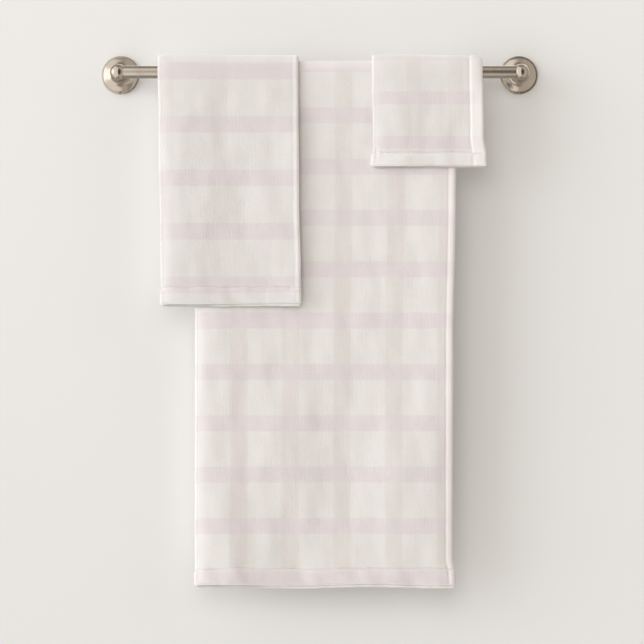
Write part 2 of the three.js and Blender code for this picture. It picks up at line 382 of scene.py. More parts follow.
FINE_STEP = 0.9 * MM        # of the cloth's mesh, at edges, hems and the fold
BAR_STEP = 2.2 * MM         # over the bar
ACROSS_STEP, ALONG_STEP = 4 * MM, 5 * MM
STEP_GROWTH = 0.35          # how fast the steps widen away from a fine spot
LEAST_STEP = 0.2 * MM


def stops(length, coarse, fine_spots):
    """Grid lines from 0 to length: coarse steps, with finer ones round each (place, reach, step)."""
    places = [0.0]
    while places[-1] < length:
        here = places[-1]
        step = coarse
        for spot, reach, fine in fine_spots:
            beyond = max(abs(here - spot) - reach, 0)
            step = min(step, fine + beyond * STEP_GROWTH)
        places.append(here + step)
    places[-1] = length
    if places[-1] - places[-2] < LEAST_STEP:
        places.pop(-2)
    return np.array(places)


def cloth_grid(towel):
    """The lines across and along the flat cloth that its mesh is built on."""
    width, length = towel["flat"]
    hem, side = towel["hem"], towel["side_hem"]
    edge_reach, fold_reach, bar_reach = 3 * MM, 9 * MM, 36 * MM
    across = [(place, edge_reach, FINE_STEP) for place in (0, width, side, width - side)]
    across.append((fold_line(towel), fold_reach, FINE_STEP))
    along = [(place, edge_reach, FINE_STEP) for place in (0, length, hem, length - hem)]
    crest = towel["front_drop"] + math.pi / 2 * (towel["inside"] + CLOTH)
    along.append((crest, bar_reach, BAR_STEP))
    return stops(width, ACROSS_STEP, across), stops(length, ALONG_STEP, along)


def link(name, mesh):
    piece = bpy.data.objects.new(name, mesh)
    bpy.context.scene.collection.objects.link(piece)
    return piece


def quads(rows, columns, first=0):
    """Faces of a grid of points stored row by row."""
    index = np.arange(rows * columns).reshape(rows, columns) + first
    return np.stack(
        [index[:-1, :-1], index[1:, :-1], index[1:, 1:], index[:-1, 1:]], axis=-1
    ).reshape(-1, 4)


def rim_loop(rows, columns):
    """The grid's border points in order, once round."""
    index = np.arange(rows * columns).reshape(rows, columns)
    return np.concatenate([index[:-1, 0], index[-1, :-1], index[:0:-1, -1], index[0, :0:-1]])


def cloth_mesh(towel):
    """One closed sheet: the printed face, the white reverse and a rounded rim between them."""
    across, along = cloth_grid(towel)
    u, v = np.meshgrid(across, along, indexing="ij")
    rows, columns = u.shape
    printed = skin(towel, u, v, 1).reshape(-1, 3)
    reverse = skin(towel, u, v, -1).reshape(-1, 3)
    middle = mid(towel, u, v)
    flat_u, flat_v = u.ravel(), v.ravel()

    border = rim_loop(rows, columns)
    inner = middle[np.clip(border // columns, 1, rows - 2), np.clip(border % columns, 1, columns - 2)]
    outward = middle.reshape(-1, 3)[border] - inner
    outward /= np.linalg.norm(outward, axis=1, keepdims=True)
    low, bulge = 0.75, 0.45 * MM
    rim = (1 - low) * printed[border] + low * reverse[border] + outward * bulge

    count = rows * columns
    points = np.concatenate([printed, reverse, rim])
    faces = [quads(rows, columns), quads(rows, columns, count)[:, ::-1]]
    after = np.roll(np.arange(len(border)), -1)
    ring = 2 * count + np.arange(len(border))
    faces.append(np.stack([border, ring, ring[after], border[after]], axis=1)[:, ::-1])
    faces.append(np.stack([ring, border + count, border[after] + count, ring[after]], axis=1)[:, ::-1])
    mesh = bpy.data.meshes.new(towel["name"])
    mesh.from_pydata(points.tolist(), [], np.concatenate(faces).tolist())
    mesh.update()
    sides = np.concatenate([np.ones(count), np.full(count, -1.0), np.full(len(border), -1.0)])
    where = np.stack([
        np.concatenate([flat_u, flat_u, flat_u[border]]),
        np.concatenate([flat_v, flat_v, flat_v[border]]),
        sides,
    ], axis=1)
    attribute = mesh.attributes.new("cloth_at", "FLOAT_VECTOR", "POINT")
    attribute.data.foreach_set("vector", where.astype(np.float32).ravel())
    face_out(mesh)
    mesh.polygons.foreach_set("use_smooth", [True] * len(mesh.polygons))
    return mesh


def face_out(mesh):
    """Turns a closed mesh's faces outwards."""
    work = bmesh.new()
    work.from_mesh(mesh)
    if work.calc_volume(signed=True) < 0:
        bmesh.ops.reverse_faces(work, faces=work.faces)
    work.to_mesh(mesh)
    work.free()


def stitch_rows(towel):
    """The flat (u, v) ends of every stitch, on the hem lines of the towel."""
    width, length = towel["flat"]
    hem, side = towel["hem"], towel["side_hem"]
    found = []
    for place in np.arange(STITCH_PITCH, width - STITCH_PITCH, STITCH_PITCH):
        for v in (hem, length - hem):
            found.append(((place, v), (place + STITCH_LENGTH, v)))
    for place in np.arange(STITCH_PITCH, length - STITCH_PITCH, STITCH_PITCH):
        for u in (side, width - side):
            found.append(((u, place), (u, place + STITCH_LENGTH)))
    return found


def on_stitching(towel, u, v):
    """Moves a point of a hem line onto the stitching's own wandering line."""
    same = 1e-6
    x = mid(towel, u, v)[..., 0]
    depth = hem_depth(towel, x)
    near_start = np.abs(v - towel["hem"]) < same
    near_end = np.abs(v - (towel["flat"][1] - towel["hem"])) < same
    return np.where(near_start, depth, np.where(near_end, towel["flat"][1] - depth, v))


def thread_faces(first, rings):
    """The sides and the two ends of one stitch, whose points start at first."""
    faces = []
    for ring in range(rings - 1):
        low = first + ring * THREAD_FACETS
        high = low + THREAD_FACETS
        for f in range(THREAD_FACETS):
            g = (f + 1) % THREAD_FACETS
            faces.append((low + f, low + g, high + g, high + f))
    last = first + (rings - 1) * THREAD_FACETS
    faces.append(tuple(first + f for f in reversed(range(THREAD_FACETS))))
    faces.append(tuple(last + f for f in range(THREAD_FACETS)))
    return faces


def stitching_mesh(towel):
    """Short lengths of sewing thread, half sunk in the printed face along the hem lines."""
    ends = np.array(stitch_rows(towel))
    share = np.array([0.0, 0.2, 0.8, 1.0])
    swell = np.array([0.15, 1.0, 1.0, 0.15])
    u = ends[:, 0, 0, None] + (ends[:, 1, 0] - ends[:, 0, 0])[:, None] * share
    v = ends[:, 0, 1, None] + (ends[:, 1, 1] - ends[:, 0, 1])[:, None] * share
    v = on_stitching(towel, u, v)
    line = skin(towel, u, v, 1)
    out = line - mid(towel, u, v)
    out /= np.linalg.norm(out, axis=-1, keepdims=True)
    along = line[:, -1:] - line[:, :1]
    along = np.broadcast_to(along / np.linalg.norm(along, axis=-1, keepdims=True), line.shape)
    beside = np.cross(along, out)
    points, faces = [], []
    turn = np.arange(THREAD_FACETS) * 2 * math.pi / THREAD_FACETS
    for k in range(len(ends)):
        first = len(points)
        for ring in range(len(share)):
            for a in turn:
                spoke = beside[k, ring] * math.cos(a) + out[k, ring] * math.sin(a)
                points.append(line[k, ring] + spoke * THREAD_RADIUS * swell[ring])
        faces += thread_faces(first, len(share))
    mesh = bpy.data.meshes.new(towel["name"] + "_stitching")
    mesh.from_pydata([tuple(p) for p in points], [], faces)
    mesh.polygons.foreach_set("use_smooth", [True] * len(mesh.polygons))
    mesh.update()
    face_out(mesh)
    return mesh


def make_towel(towel):
    name = towel["name"]
    cloth = link(name, cloth_mesh(towel))
    cloth.data.materials.append(towelling(towel))
    stitching = link(f"{name}_stitching", stitching_mesh(towel))
    stitching.data.materials.append(thread())
    for piece in (cloth, stitching):
        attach(piece, name)
    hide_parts(*[f"{name}_{solid}" for solid in towel["solids"]])


# ---- Node helpers for materials ----


class Nodes:
    """A material's or a world's node tree, with short calls that add a node and return its output."""

    def __init__(self, name=None, world=None):
        if world:
            self.tree = world.node_tree
            self.tree.nodes.clear()
            return
        self.material = bpy.data.materials.new(name)
        self.material.use_nodes = True
        self.tree = self.material.node_tree
        self.tree.nodes.clear()
        self.output = self.tree.nodes.new("ShaderNodeOutputMaterial")

    def add(self, kind, **settings):
        node = self.tree.nodes.new(kind)
        for key, value in settings.items():
            setattr(node, key, value)
        return node

    def feed(self, socket, value):
        if isinstance(value, bpy.types.NodeSocket):
            self.tree.links.new(value, socket)
        else:
            socket.default_value = value

    def made(self, kind, values, output=0, **settings):
        """Adds a node, feeds its inputs by order or by name, and returns one output."""
        node = self.add(kind, **settings)
        for key, value in values.items() if isinstance(values, dict) else enumerate(values):
            self.feed(node.inputs[key], value)
        return node.outputs[output]

    def math(self, operation, *values):
        return self.made("ShaderNodeMath", values, operation=operation)

    def scaled(self, vector, by):
        return self.made("ShaderNodeVectorMath", (vector, by), operation="MULTIPLY")

    def dot(self, a, b):
        return self.made("ShaderNodeVectorMath", (a, b), "Value", operation="DOT_PRODUCT")

    def mix(self, share, a, b, blend_type="MIX"):
        values = {"Factor": share, "A": a, "B": b}
        return self.made("ShaderNodeMix", values, "Result", data_type="RGBA", blend_type=blend_type)

    def smooth_between(self, value, low, high, to_low=0.0, to_high=1.0):
        values = {"Value": value, "From Min": low, "From Max": high, "To Min": to_low, "To Max": to_high}
        return self.made("ShaderNodeMapRange", values, interpolation_type="SMOOTHSTEP")

    def noise(self, vector, scale, detail=2.0, roughness=0.5):
        values = {"Vector": vector, "Scale": scale, "Detail": detail, "Roughness": roughness}
        return self.made("ShaderNodeTexNoise", values)

    def bump(self, height, strength, distance):
        values = {"Height": height, "Strength": strength, "Distance": distance}
        return self.made("ShaderNodeBump", values)

    def surface(self, **sockets):
        shader = self.add("ShaderNodeBsdfPrincipled")
        for key, value in sockets.items():
            self.feed(shader.inputs[key.replace("_", " ")], value)
        self.tree.links.new(shader.outputs[0], self.output.inputs["Surface"])
        return self.material


# ---- Cloth materials ----

GROUND = (0.742, 0.725, 0.712, 1)
MAUVE = (0.714, 0.670, 0.678, 1)        # the rows
BLUSH = (0.704, 0.673, 0.656, 1)        # the columns
CROSSING = (0.696, 0.648, 0.658, 1)     # where they cross
PALE = (0.890, 0.868, 0.862, 1)         # the white of unprinted hems, and the colour of the painted highlight and painted light
REVERSE = (0.790, 0.770, 0.745, 1)
THREAD_DARK = (0.74, 0.70, 0.68, 1)
THREAD_LIGHT = (0.86, 0.82, 0.79, 1)

FRAY = 1.6 * MM             # how far the printed edges stray
ROW_SOFT = 1.2 * MM         # half the width over which a printed edge fades
COLUMN_SOFT = 3.2 * MM
NAP_GRAIN = 620.0           # noise scales are per metre
BLOTCH_GRAIN = 26.0

# Painted highlight along the fold and over the bar's crest, and painted light at the hemmed ends: how much,
# and over what distance.
PAINTED_FOLD_HIGHLIGHT = {"share": 0.45, "reach": 22 * MM, "spared": (2 * MM, 6 * MM)}
PAINTED_END_LIGHT = {"share": 0.9, "from": 0.8 * MM, "to": 3.2 * MM}
PAINTED_CREST_HIGHLIGHT = {"share": 0.6, "reach": 30 * MM}

# The pile's relief: loops, ribs down the towel, soft tufts and streaks.
LOOP_GRAIN = 760.0
RIB = {"pitch": 2.1 * MM, "share": 0.18}
TUFT = {"grain": 95.0, "share": 2.2}
STREAK = {"grain": 190.0, "share": 1.3, "drawn_out": (1.0, 0.14, 1.0)}
PILE_BUMP = {"strength": 0.5, "height": 0.35 * MM}


def stripe(nodes, place, facts, soft):
    """1 on the stripes that repeat along a distance, 0 between them."""
    half_period = facts["period"] / 2
    shifted = nodes.math("SUBTRACT", place, facts["centre"])
    wrapped = nodes.math("WRAP", shifted, half_period, -half_period)
    distance = nodes.math("ABSOLUTE", wrapped)
    half = facts["width"] / 2
    return nodes.smooth_between(distance, half - soft, half + soft, 1.0, 0.0)


def printed_plaid(nodes, towel, u, v, nap):
    """The plaid: rows, columns and the squares where they cross."""
    frayed = nodes.math("MULTIPLY", nodes.math("SUBTRACT", nap, 0.5), FRAY)
    row = stripe(nodes, nodes.math("ADD", v, frayed), towel["rows"], ROW_SOFT)
    column = stripe(nodes, nodes.math("ADD", u, frayed), towel["columns"], COLUMN_SOFT)
    column = nodes.math("MULTIPLY", column, towel["columns"]["strength"])
    return nodes.mix(column, nodes.mix(row, GROUND, MAUVE), nodes.mix(row, BLUSH, CROSSING))


def white_hems_and_painted_light(nodes, towel, u, v):
    """0 to 1: how far the colour pales: white unprinted side hems and hems, painted highlight at the fold
    and over the bar, and painted light at the hemmed ends.
    """
    width, length = towel["flat"]
    seam, hem = towel["side_hem"], towel["hem"]
    from_fold = nodes.math("ABSOLUTE", nodes.math("SUBTRACT", u, fold_line(towel)))
    # Painted highlight along the lengthwise fold, spared at the very fold.
    by_fold = nodes.smooth_between(from_fold, 0.0, PAINTED_FOLD_HIGHLIGHT["reach"], PAINTED_FOLD_HIGHLIGHT["share"], 0.0)
    fold_highlight = nodes.math("MULTIPLY", by_fold, nodes.smooth_between(from_fold, *PAINTED_FOLD_HIGHLIGHT["spared"]))
    to_side = nodes.math("MINIMUM", u, nodes.math("SUBTRACT", width, u))
    at_side = nodes.smooth_between(to_side, seam - 3 * MM, seam + 2 * MM, towel["edge_white"], 0.0)
    to_end = nodes.math("MINIMUM", v, nodes.math("SUBTRACT", length, v))
    # Painted light along the hemmed ends, lifting the shade at their rounded edges.
    end_light = nodes.smooth_between(to_end, PAINTED_END_LIGHT["from"], PAINTED_END_LIGHT["to"], PAINTED_END_LIGHT["share"], 0.0)
    at_hem = nodes.smooth_between(to_end, hem - 2 * MM, hem + MM, towel["hem_white"], 0.0)
    # Painted highlight over the bar's crest, where the cloth faces up.
    crest = towel["front_drop"] + math.pi / 2 * (towel["inside"] + 1.5 * CLOTH)
    from_crest = nodes.math("ABSOLUTE", nodes.math("SUBTRACT", v, crest))
    crest_highlight = nodes.smooth_between(from_crest, 0.0, PAINTED_CREST_HIGHLIGHT["reach"], PAINTED_CREST_HIGHLIGHT["share"], 0.0)
    paled = fold_highlight
    for part in (at_side, end_light, at_hem, crest_highlight):
        paled = nodes.math("MAXIMUM", paled, part)
    return paled


def mottled(nodes, colour, at, nap, tone):
    """A towel's own tone, with faint blotches and a fine nap."""
    uneven = nodes.smooth_between(
        nodes.noise(at, BLOTCH_GRAIN, 3.0), 0.3, 0.7, 0.985 * tone, 1.012 * tone
    )
    fine = nodes.smooth_between(nap, 0.25, 0.75, 0.965, 1.03)
    tint = nodes.add("ShaderNodeCombineXYZ")
    for socket in tint.inputs:
        nodes.feed(socket, nodes.math("MULTIPLY", uneven, fine))
    return nodes.mix(1.0, colour, tint.outputs[0], "MULTIPLY")


def pile_normal(nodes, at, u):
    """The pile's relief, too fine to be a mesh."""
    pile = nodes.add("ShaderNodeTexVoronoi")
    nodes.feed(pile.inputs["Vector"], at)
    nodes.feed(pile.inputs["Scale"], LOOP_GRAIN)
    loops = nodes.math("SUBTRACT", 1.0, pile.outputs["Distance"])
    ribs = nodes.math("SINE", nodes.math("MULTIPLY", u, 2 * math.pi / RIB["pitch"]))
    height = nodes.math("ADD", loops, nodes.math("MULTIPLY", ribs, RIB["share"]))
    tufts = nodes.math("MULTIPLY", nodes.noise(at, TUFT["grain"], 3.0), TUFT["share"])
    height = nodes.math("ADD", height, tufts)
    drawn_out = nodes.scaled(at, STREAK["drawn_out"])
    streaks = nodes.math("MULTIPLY", nodes.noise(drawn_out, STREAK["grain"], 3.0), STREAK["share"])
    height = nodes.math("ADD", height, streaks)
    return nodes.bump(height, PILE_BUMP["strength"], PILE_BUMP["height"])


def towelling(towel):
    """Microfibre terry: a pale plaid printed on short pile, on one face only."""
    nodes = Nodes(towel["name"] + "_terry")
    at = nodes.add("ShaderNodeAttribute", attribute_name="cloth_at").outputs["Vector"]
    split = nodes.add("ShaderNodeSeparateXYZ")
    nodes.feed(split.inputs[0], at)
    u, v, face = split.outputs
    nap = nodes.noise(at, NAP_GRAIN, 3.0, 0.6)
    colour = printed_plaid(nodes, towel, u, v, nap)
    # Mixes in PALE: painted highlight at the fold and crest, painted light at the ends, and the white of
    # unprinted hems.
    colour = nodes.mix(white_hems_and_painted_light(nodes, towel, u, v), colour, PALE)
    colour = nodes.mix(nodes.math("GREATER_THAN", face, 0.0), REVERSE, colour)
    return nodes.surface(
        Base_Color=mottled(nodes, colour, at, nap, towel["tone"]),
        Roughness=0.93, Normal=pile_normal(nodes, at, u),
        Specular_IOR_Level=0.12, Sheen_Weight=0.25, Sheen_Roughness=0.45,
        Subsurface_Weight=0.6, Subsurface_Radius=(1.0, 0.92, 0.86), Subsurface_Scale=2.6 * MM,
    )


def thread():
    """White polyester sewing thread with its twist."""
    nodes = Nodes("sewing_thread")
    position = nodes.add("ShaderNodeNewGeometry").outputs["Position"]
    fibres = nodes.noise(position, 2600.0, 2.0)
    colour = nodes.mix(fibres, THREAD_DARK, THREAD_LIGHT)
    return nodes.surface(Base_Color=colour, Roughness=0.6, Normal=nodes.bump(fibres, 0.4, 0.1 * MM))


# ---- Metal materials ----

NICKEL = {"dark": (0.60, 0.53, 0.455, 1), "light": (0.67, 0.60, 0.52, 1), "grain": 1800.0, "rough": 0.17}
ZINC = {"dark": (0.60, 0.61, 0.60, 1), "light": (0.72, 0.73, 0.74, 1), "grain": 300.0, "rough": 0.34}
STEEL = {"dark": (0.10, 0.10, 0.10, 1), "light": (0.17, 0.17, 0.17, 1), "grain": 500.0, "rough": 0.4}


def brushed(name, metal, stretch=(1, 1, 1)):
    """Satin metal: fine brush lines, drawn out where the stretch is less than 1."""
    nodes = Nodes(name)
    position = nodes.add("ShaderNodeNewGeometry").outputs["Position"]
    lines = nodes.noise(nodes.scaled(position, stretch), metal["grain"], 4.0, 0.65)
    cloudy = nodes.noise(position, 45.0, 3.0)
    colour = nodes.mix(nodes.smooth_between(cloudy, 0.3, 0.7), metal["dark"], metal["light"])
    rough = nodes.smooth_between(lines, 0.25, 0.75, metal["rough"] - 0.03, metal["rough"] + 0.05)
    return nodes.surface(
        Base_Color=colour, Metallic=1.0, Roughness=rough,
        Normal=nodes.bump(lines, 0.06, 0.03 * MM),
    )


# ---- The bar's fittings ----

FLANGE_RADIUS = (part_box("left_post")[1].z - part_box("left_post")[0].z) / 2
HEAD_RADIUS = AXIS_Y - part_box("left_post")[0].y
NECK_RADIUS = 9 * MM
SOCKET_RADIUS = TUBE_RADIUS + 0.3 * MM
SOCKET_END = 3.4 * MM       # the socket's floor, from the post's axis
SOCKET_MOUTH = math.sqrt(HEAD_RADIUS ** 2 - SOCKET_RADIUS ** 2)
TUBE_WALL = 1.2 * MM
TUBE_EASED = 0.4 * MM       # the round on the tube's ends
JOINT_WIDTH = 1.1 * MM      # the shadow line turned in the tube where it enters a post
JOINT_DEPTH = 0.9 * MM
PAST = 1 * MM               # how far a cutter reaches past the face it opens
SHARP_ANGLE = 32            # edges that turn by more degrees than this are shaded sharp

# The post's turned profile, as (radius, height above the wall) in millimetres.
CAVITY = [(0, 7.6), (23.0, 7.6), (23.4, 7.2), (23.4, 5), (26.5, 4), (26.5, 0.3), (26.8, 0)]
FLANGE_FOOT = 0.5           # the round where the flange meets the wall
RING = {"top": 3.4, "round": 0.6, "shelf": 1.35}
RIM = {"top": 6.8, "round": 0.6, "step": 1.2, "flat": 2.3}
GROOVE = {"outer": 2.4, "inner": 3.0, "floor": 6.0, "flare": (3.1, 7.3)}
FLARE = {"bend": 20, "rise": 12.5, "end": 40, "neck_to": 50}

SET_SCREW_HOLE = {"radius": 2.5 * MM, "inner_end": 22 * MM}
BRACKET = {"sheet": 2 * MM, "lip": 6 * MM, "screw": 13 * MM, "hole": 2.4 * MM, "eased": 0.35 * MM}
CROSS = {"reach": 2.2 * MM, "half": 0.5 * MM, "depth": 1.3 * MM}
WALL_SCREW = {"shank": 2 * MM, "head": 4 * MM, "seat": 2.3 * MM, "pitch": 1.8 * MM, "cut": 0.55 * MM}
SET_SCREW = {"pitch": 0.8 * MM, "cut": 0.25 * MM, "hexagon": 1.2 * MM, "depth": 2.2 * MM}


def sharpen(mesh, degrees):
    """Smooth shading, with an edge wherever the surface turns more than this."""
    work = bmesh.new()
    work.from_mesh(mesh)
    for face in work.faces:
        face.smooth = True
    for edge in work.edges:
        edge.smooth = len(edge.link_faces) == 2 and edge.calc_face_angle(0) < math.radians(degrees)
    work.to_mesh(mesh)
    work.free()


def turned_mesh(name, profile, segments=128, groove=None):
    """Turns (radius, distance from the wall) about Y. The profile closes on itself or on the axis.

    groove(radius, height, angle) may move each point's radius, as a screw thread does.
    """
    points, rings = [], []
    for radius, height in profile:
        if radius < 1e-7:
            rings.append([len(points)])
            points.append((0.0, -height, 0.0))
            continue
        rings.append([len(points) + k for k in range(segments)])
        for k in range(segments):
            angle = 2 * math.pi * k / segments
            r = groove(radius, height, angle) if groove else radius
            points.append((r * math.cos(angle), -height, r * math.sin(angle)))
    closed = len(rings[0]) > 1
    pairs = list(zip(rings, rings[1:]))
    if closed:
        pairs.append((rings[-1], rings[0]))
    faces = []
    for a, b in pairs:
        for k in range(segments):
            n = (k + 1) % segments
            if len(a) == 1:
                faces.append((a[0], b[k], b[n]))
            elif len(b) == 1:
                faces.append((a[k], b[0], a[n]))
            else:
                faces.append((a[k], b[k], b[n], a[n]))
    mesh = bpy.data.meshes.new(name)
    mesh.from_pydata(points, [], faces)
    mesh.update()
    face_out(mesh)
    return mesh


def arc(centre_r, centre_h, radius, start, end, steps):
    """Points of a profile along an arc, angles in degrees from the radial direction."""
    return [
        (
            centre_r + radius * math.cos(math.radians(start + (end - start) * k / steps)),
            centre_h + radius * math.sin(math.radians(start + (end - start) * k / steps)),
        )
        for k in range(steps + 1)
    ]


def bezier(p0, p1, p2, p3, steps):
    found = []
    for k in range(steps + 1):
        t = k / steps
        a, b, c, d = (1 - t) ** 3, 3 * t * (1 - t) ** 2, 3 * t * t * (1 - t), t ** 3
        found.append(tuple(a * p0[i] + b * p1[i] + c * p2[i] + d * p3[i] for i in range(2)))
    return found


def post_profile():
    """The post from its cavity, round the rim and up the flared neck to the ball head."""
    flange = FLANGE_RADIUS / MM
    head, neck, axis = HEAD_RADIUS / MM, NECK_RADIUS / MM, -AXIS_Y / MM
    shoulder = math.degrees(math.acos(neck / head))
    foot, ring, rim = FLANGE_FOOT, RING["round"], RIM["round"]
    profile = CAVITY + arc(flange - foot, foot, foot, -90, 0, 4)
    profile += arc(flange - ring, RING["top"] - ring, ring, 0, 90, 6)
    profile += [(flange - RING["shelf"], RING["top"])]
    profile += arc(flange - RIM["step"] - rim, RIM["top"] - rim, rim, 0, 90, 6)
    profile += [(flange - RIM["flat"], RIM["top"])]
    profile += [(flange - GROOVE["outer"], GROOVE["floor"]), (flange - GROOVE["inner"], GROOVE["floor"])]
    start = (flange - GROOVE["flare"][0], GROOVE["flare"][1])
    profile += bezier(start, (FLARE["bend"], FLARE["rise"]), (neck, FLARE["rise"]), (neck, FLARE["end"]), 40)
    profile += [(neck, FLARE["neck_to"])]
    profile += arc(0, axis, head, -shoulder, 90, 28)[:-1] + [(0, axis + head)]
    return [(radius * MM, height * MM) for radius, height in profile]


def finished(work, name):
    mesh = bpy.data.meshes.new(name)
    work.to_mesh(mesh)
    work.free()
    return link(name, mesh)


def cylinder(radius, low, high, axis, segments=96):
    """A closed cylinder between two places on one axis, for joining and cutting."""
    work = bmesh.new()
    bmesh.ops.create_cone(
        work, cap_ends=True, segments=segments, radius1=radius, radius2=radius, depth=high - low
    )
    bmesh.ops.translate(work, verts=work.verts, vec=(0, 0, (low + high) / 2))
    turn = {"X": Matrix.Rotation(math.pi / 2, 4, "Y"), "Z": Matrix.Identity(4)}[axis]
    bmesh.ops.transform(work, matrix=turn, verts=work.verts)
    return finished(work, "cutter")


def boolean(piece, tool, operation):
    """Joins or cuts with another object, which is then removed."""
    modifier = piece.modifiers.new(operation, "BOOLEAN")
    modifier.operation = operation
    modifier.solver = "EXACT"
    modifier.object = tool
    bpy.context.view_layer.update()
    graph = bpy.context.evaluated_depsgraph_get()
    mesh = bpy.data.meshes.new_from_object(piece.evaluated_get(graph))
    piece.modifiers.clear()
    piece.data = mesh
    bpy.data.objects.remove(tool)


def place_at(piece, x, y=0.0, z=0.0):
    """Moves the mesh itself, so that the object stays at the origin."""
    piece.data.transform(Matrix.Translation((x, y, z)))


def fit_out(piece, material, body, node, degrees=SHARP_ANGLE):
    """Gives a fitting its shading and material, and hides the CAD solid that it stands for."""
    sharpen(piece.data, degrees)
    piece.data.materials.clear()
    piece.data.materials.append(material)
    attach(piece, body)
    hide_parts(node)


def make_post(side):
    piece = link(f"{side}_post_satin", turned_mesh(f"{side}_post", post_profile()))
    socket = cylinder(SOCKET_RADIUS, SOCKET_END, HEAD_RADIUS + PAST, "X")
    place_at(socket, 0, AXIS_Y)
    boolean(piece, socket, "DIFFERENCE")
    hole = SET_SCREW_HOLE
    screw_hole = cylinder(hole["radius"], -FLANGE_RADIUS - 2 * PAST, -hole["inner_end"], "Z", 48)
    place_at(screw_hole, 0, centre_of(f"{side}_set_screw").y)
    boolean(piece, screw_hole, "DIFFERENCE")
    if SIDES[side] > 0:
        piece.data.transform(Matrix.Scale(-1, 4, (1, 0, 0)))
        piece.data.flip_normals()
    place_at(piece, centre_of(f"{side}_wall_bracket").x)
    nickel = brushed(f"{side}_post_nickel", NICKEL, (1, 0.12, 1))
    fit_out(piece, nickel, "wall_fittings", f"{side}_post")


def make_tube():
    """The bar's tube: drawn and brushed, with eased ends."""
    low, high = TUBE_LOW.x, TUBE_HIGH.x
    inside, floor = TUBE_RADIUS - TUBE_WALL, TUBE_RADIUS - JOINT_DEPTH
    slope = 0.1 * MM
    profile = [(TUBE_RADIUS - TUBE_EASED, low), (TUBE_RADIUS, low + TUBE_EASED)]
    for side in SIDES:
        mouth = centre_of(f"{side}_wall_bracket").x - SIDES[side] * SOCKET_MOUTH
        edges = sorted((mouth, mouth - SIDES[side] * JOINT_WIDTH))
        profile += [(TUBE_RADIUS, edges[0]), (floor, edges[0] + slope)]
        profile += [(floor, edges[1] - slope), (TUBE_RADIUS, edges[1])]
    profile += [(TUBE_RADIUS, high - TUBE_EASED), (TUBE_RADIUS - TUBE_EASED, high)]
    profile += [(inside, high), (inside, low)]
    mesh = turned_mesh("bar_tube", profile, 160)
    mesh.transform(Matrix.Rotation(math.pi / 2, 4, "Z"))
    piece = link("bar_tube_brushed", mesh)
    place_at(piece, 0, AXIS_Y)
    fit_out(piece, brushed("tube_nickel", NICKEL, (0.06, 1, 1)), "bar", "bar_tube")


def box(low, high):
    work = bmesh.new()
    bmesh.ops.create_cube(work, size=1)
    size = Vector(high) - Vector(low)
    bmesh.ops.scale(work, vec=size, verts=work.verts)
    bmesh.ops.translate(work, vec=(Vector(low) + Vector(high)) / 2, verts=work.verts)
    return finished(work, "block")


def make_bracket(side):
    """The stamped wall plate with its two turned lips and screw holes."""
    node = f"{side}_wall_bracket"
    low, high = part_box(node)
    centre = centre_of(node)
    sheet, lip = BRACKET["sheet"], BRACKET["lip"]
    piece = box((low.x, -sheet, low.z), (high.x, 0, high.z))
    for bottom, top in ((high.z - sheet, high.z), (low.z, low.z + sheet)):
        block = box((centre.x - lip, low.y, bottom), (centre.x + lip, -sheet / 2, top))
        boolean(piece, block, "UNION")
    for place in (-BRACKET["screw"], BRACKET["screw"]):
        hole = cylinder(BRACKET["hole"], -sheet - PAST, sheet + PAST, "Z", 40)
        hole.data.transform(Matrix.Rotation(math.pi / 2, 4, "X"))
        place_at(hole, centre.x, 0, place)
        boolean(piece, hole, "DIFFERENCE")
    soften = piece.modifiers.new("eased", "BEVEL")
    soften.width = BRACKET["eased"]
    soften.segments = 3
    soften.limit_method = "ANGLE"
    soften.angle_limit = math.radians(40)
    piece.name = f"{side}_bracket_plate"
    fit_out(piece, brushed("bright_zinc", ZINC), "wall_fittings", node)


def thread_groove(pitch, depth, start, end):
    """Moves a shank's radius in and out along a helix between two distances from the wall."""
    def groove(radius, height, angle):
        if not start < height < end:
            return radius
        turn = (height / pitch + angle / (2 * math.pi)) % 1.0
        return radius - depth * abs(2 * turn - 1)
    return groove


def cross_recess(piece, x, z, face):
    for wide, tall in ((CROSS["reach"], CROSS["half"]), (CROSS["half"], CROSS["reach"])):
        slot = box((x - wide, face - PAST, z - tall), (x + wide, face + CROSS["depth"], z + tall))
        boolean(piece, slot, "DIFFERENCE")


def wall_screw_profile(reach, crown):
    """A threaded shank that tapers to its point, and a pan head."""
    shank, head, seat = WALL_SCREW["shank"], WALL_SCREW["head"], WALL_SCREW["seat"]
    steps, tip_steps = 90, 16
    profile = [(0, -reach)]
    for k in range(1, steps + 1):
        profile.append((shank * min(1, k / tip_steps), -reach + (reach + seat) * k / (steps + 1)))
    profile += [(shank, seat), (head - 0.1 * MM, seat), (head, seat + 0.2 * MM), (head, seat + 1 * MM)]
    return profile + [(0.9 * head, seat + 1.7 * MM), (0.6 * head, crown - 0.1 * MM), (0, crown)]


def make_wall_screw(side, place):
    node = f"{side}_{place}_wall_screw"
    low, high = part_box(node)
    centre = centre_of(node)
    groove = thread_groove(WALL_SCREW["pitch"], WALL_SCREW["cut"], -high.y + 1 * MM, -1 * MM)
    mesh = turned_mesh(node, wall_screw_profile(high.y, -low.y), 40, groove)
    piece = link(f"{side}_{place}_wall_screw_zinc", mesh)
    place_at(piece, centre.x, 0, centre.z)
    cross_recess(piece, centre.x, centre.z, low.y)
    fit_out(piece, brushed("bright_zinc", ZINC), "wall_fittings", node, 40)


